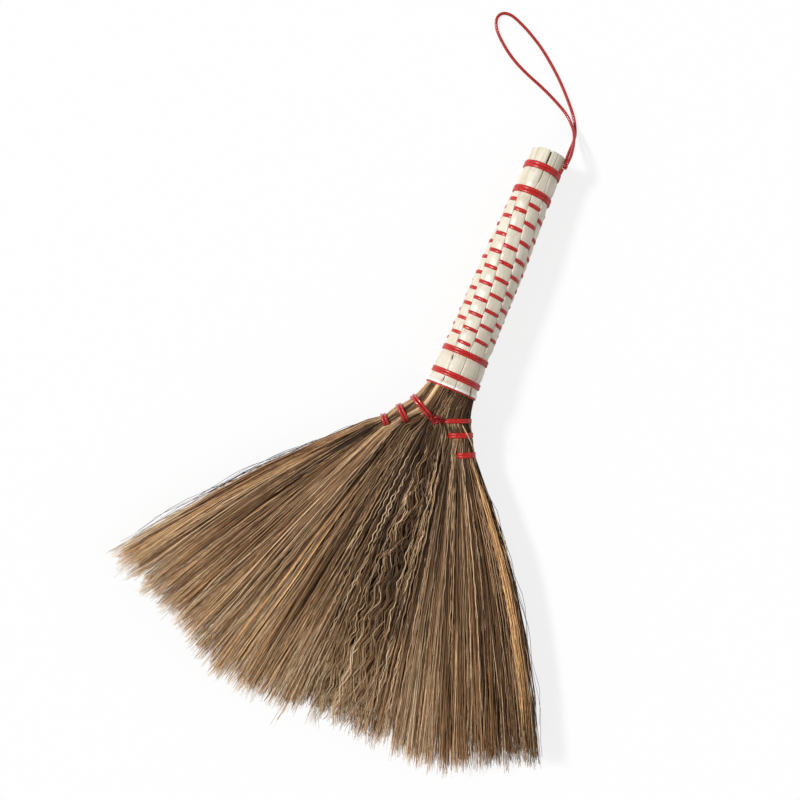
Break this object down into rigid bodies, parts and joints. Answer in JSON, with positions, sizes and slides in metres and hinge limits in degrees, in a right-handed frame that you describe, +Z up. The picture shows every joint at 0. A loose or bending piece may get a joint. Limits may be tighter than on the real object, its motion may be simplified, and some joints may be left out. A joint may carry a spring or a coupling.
{
  "type": "hand broom",
  "caption": "Flat fan-shaped hand broom of loose bristles with cord-bound neck, woven strip handle and a cord loop to hang it by.",
  "frame": {"origin": "on the table under the middle of the broom's box, hanging loop left out, as the broom lies flat", "axes": "+Z up from the table, +Y along the handle from the bristles to its cut top, +X to the right seen from above"},
  "size_m": [0.2984, 0.466, 0.0341],
  "materials": {
    "strip": "satin ivory plant strip",
    "cord": "glossy red twisted cord",
    "stem": "dry brown stems",
    "bristle": "dry brown plant fibre"
  },
  "bodies": {
    "broom": {"stem_core": "stem", "handle_strip_1": "strip", "handle_strip_2": "strip", "handle_strip_3": "strip", "handle_strip_4": "strip", "handle_strip_5": "strip", "handle_strip_6": "strip", "handle_strip_7": "strip", "handle_strip_8": "strip", "handle_strip_9": "strip", "weaving_cord": "cord", "top_band_upper": "cord", "top_band_lower": "cord", "lower_band_upper": "cord", "lower_band_lower": "cord", "rim_cord": "cord", "left_binding_1": "cord", "left_binding_2": "cord", "left_binding_3": "cord", "right_binding_1": "cord", "right_binding_2": "cord", "right_binding_3": "cord", "centre_knot": "cord", "bristles_left_outer": "bristle", "bristles_left_middle": "bristle", "bristles_left_inner": "bristle", "bristles_centre": "bristle", "bristles_right_inner": "bristle", "bristles_right_middle": "bristle", "bristles_right_outer": "bristle"},
    "loop_knot": {"loop_knot": "cord"},
    "hanging_loop": {"hanging_loop": "cord"}
  },
  "joints": [
    {"name": "loop_swing", "type": "hinge", "parent": "broom", "child": "loop_knot", "pos_m": [0.01628, 0.18934, 0.01823], "axis": [0, 0, 1], "range_deg": [-90, 0]},
    {"name": "loop_lift", "type": "hinge", "parent": "loop_knot", "child": "hanging_loop", "pos_m": [0.01628, 0.18934, 0.01823], "axis": [1, 0, 0], "range_deg": [0, 100]}
  ]
}
